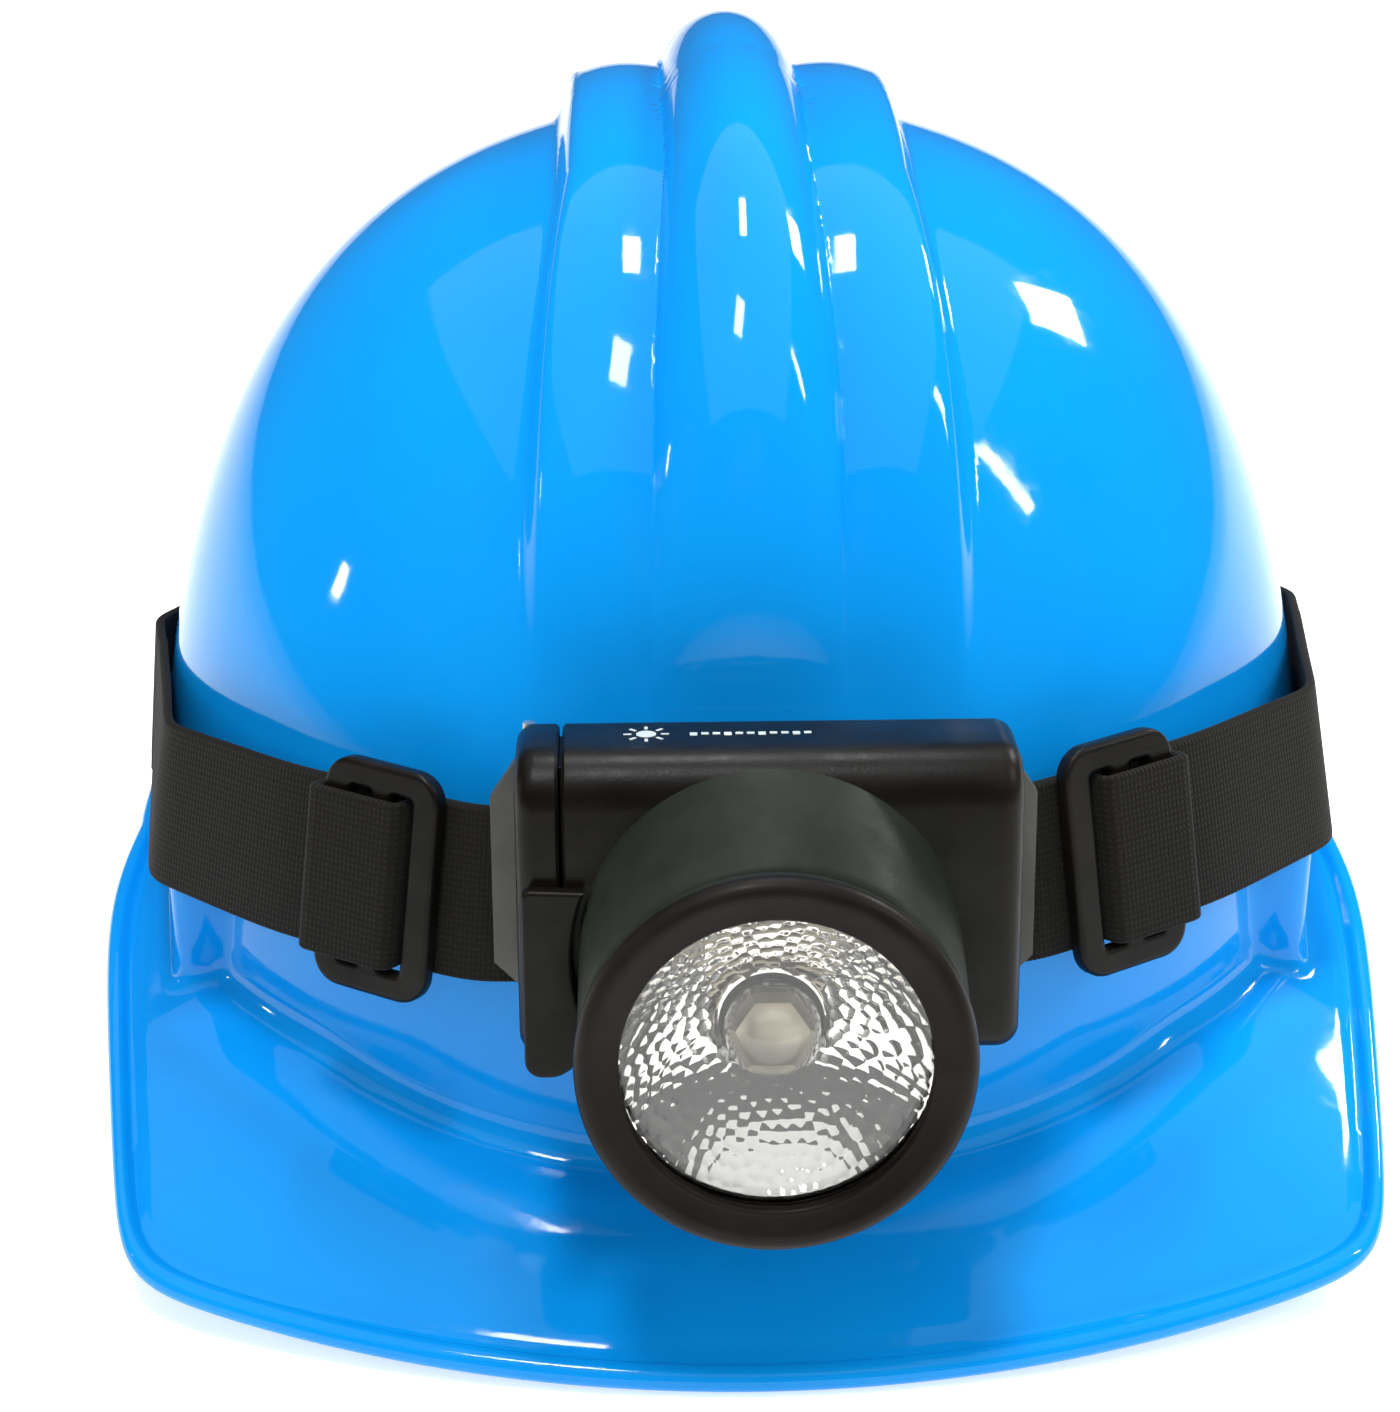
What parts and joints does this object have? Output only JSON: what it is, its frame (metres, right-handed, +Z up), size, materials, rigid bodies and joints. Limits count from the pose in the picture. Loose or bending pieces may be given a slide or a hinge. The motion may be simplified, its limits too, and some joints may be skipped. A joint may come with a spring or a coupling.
{
  "type": "miner's cap lamp",
  "caption": "Miner's cap with a strap-on cap lamp: a ridged hard hat with head suspension and a focusing headlamp held on by buckled webbing, for hands-free light underground.",
  "frame": {"origin": "centre of the bounding box's base, on the plane the hat stands on", "axes": "+Z up through the crown, -Y forward along the peak and the beam, +X to the viewer's right when facing the lamp"},
  "size_m": [0.2284, 0.2866, 0.1735],
  "materials": {
    "shell_blue": "high-gloss moulded shell, azure blue",
    "band_plastic": "satin black",
    "key_plastic": "natural nylon",
    "pad_foam": "brushed foam cloth",
    "head_webbing": "woven webbing",
    "lamp_webbing": "woven elastic webbing, brown black",
    "black_plastic": "fine grained satin",
    "charcoal_plastic": "satin, slightly green grey",
    "black_rubber": "matt",
    "steel": "plain",
    "battery_jacket": "printed sleeve without marks",
    "socket_plastic": "heat-resistant moulding",
    "clear": "clear",
    "mirror_plating": "hammered vacuum-metallised bowl"
  },
  "bodies": {
    "hat": {"shell_crown": "shell_blue", "shell_wall": "shell_blue", "shell_brim": "shell_blue", "headband": "band_plastic", "brow_pad": "pad_foam", "suspension_keys": "key_plastic", "crown_strap_long": "head_webbing", "crown_strap_cross": "head_webbing", "crown_pad": "pad_foam", "ratchet_housing": "band_plastic", "nape_pad": "pad_foam"},
    "knob": {"ratchet_knob": "band_plastic", "ratchet_pinion": "key_plastic"},
    "left_rack": {"rack_left": "key_plastic"},
    "right_rack": {"rack_right": "key_plastic"},
    "strap": {"strap_front": "lamp_webbing", "strap_rear": "lamp_webbing", "back_plate": "charcoal_plastic", "tilt_pins": "steel"},
    "left_buckle": {"buckle_left": "black_plastic", "strap_fold_left": "lamp_webbing"},
    "right_buckle": {"buckle_right": "black_plastic", "strap_fold_right": "lamp_webbing"},
    "lamp": {"lamp_body": "black_plastic", "lamp_hood": "charcoal_plastic", "hood_screws": "steel", "battery_top": "battery_jacket", "battery_middle": "battery_jacket", "battery_bottom": "battery_jacket", "contact_plate": "steel", "bulb_socket": "socket_plastic", "bulb_base": "steel", "bulb_glass": "clear"},
    "door": {"battery_door": "black_plastic", "door_seal": "black_rubber", "door_pin": "steel", "contact_springs": "steel", "latch_pin": "steel"},
    "latch": {"door_latch": "black_plastic"},
    "optics": {"reflector": "mirror_plating", "lens": "clear", "lens_seal": "black_rubber"},
    "bezel": {"focus_bezel": "charcoal_plastic", "bezel_lip": "black_rubber"}
  },
  "joints": [
    {"name": "cap_lamp_lift", "type": "slide", "parent": "hat", "child": "strap", "axis": [0, 0, 1], "range_m": [0, 0.03]},
    {"name": "lamp_tilt", "type": "hinge", "parent": "strap", "child": "lamp", "pos_m": [0.0015, -0.10026, 0.04805], "axis": [1, 0, 0], "range_deg": [0, 25]},
    {"name": "focus_slide", "type": "slide", "parent": "lamp", "child": "optics", "axis": [0, -0.9925, 0.1219], "range_m": [0, 0.0015]},
    {"name": "bezel_twist", "type": "hinge", "parent": "optics", "child": "bezel", "pos_m": [0.0015, -0.13332, 0.06269], "axis": [0, -0.9925, 0.1219], "range_deg": [0, 90]},
    {"name": "battery_door_swing", "type": "hinge", "parent": "lamp", "child": "door", "pos_m": [-0.0341, -0.09706, 0.07416], "axis": [0, -0.1219, -0.9925], "range_deg": [0, 85]},
    {"name": "latch_swing", "type": "hinge", "parent": "door", "child": "latch", "pos_m": [-0.0316, -0.12093, 0.05694], "axis": [0, -0.9925, 0.1219], "range_deg": [0, 35]},
    {"name": "left_buckle_slide", "type": "slide", "parent": "strap", "child": "left_buckle", "axis": [-0.8622, 0.5066, 0], "range_m": [-0.004, 0.005]},
    {"name": "right_buckle_slide", "type": "slide", "parent": "strap", "child": "right_buckle", "axis": [0.8622, 0.5066, 0], "range_m": [-0.004, 0.005]},
    {"name": "knob_spin", "type": "hinge", "parent": "hat", "child": "knob", "pos_m": [0, 0.117, 0.021], "axis": [0, 1, 0], "range_deg": [-60, 60]},
    {"name": "left_rack_slide", "type": "slide", "parent": "hat", "child": "left_rack", "axis": [-1, 0, 0], "range_m": [-0.0053, 0.0053]},
    {"name": "right_rack_slide", "type": "slide", "parent": "hat", "child": "right_rack", "axis": [1, 0, 0], "range_m": [-0.0053, 0.0053]}
  ],
  "couplings": [
    {"joint": "focus_slide", "follows": "bezel_twist", "m_per_rad": 0.0009549},
    {"joint": "left_rack_slide", "follows": "knob_spin", "m_per_rad": 0.005},
    {"joint": "right_rack_slide", "follows": "knob_spin", "m_per_rad": 0.005}
  ]
}
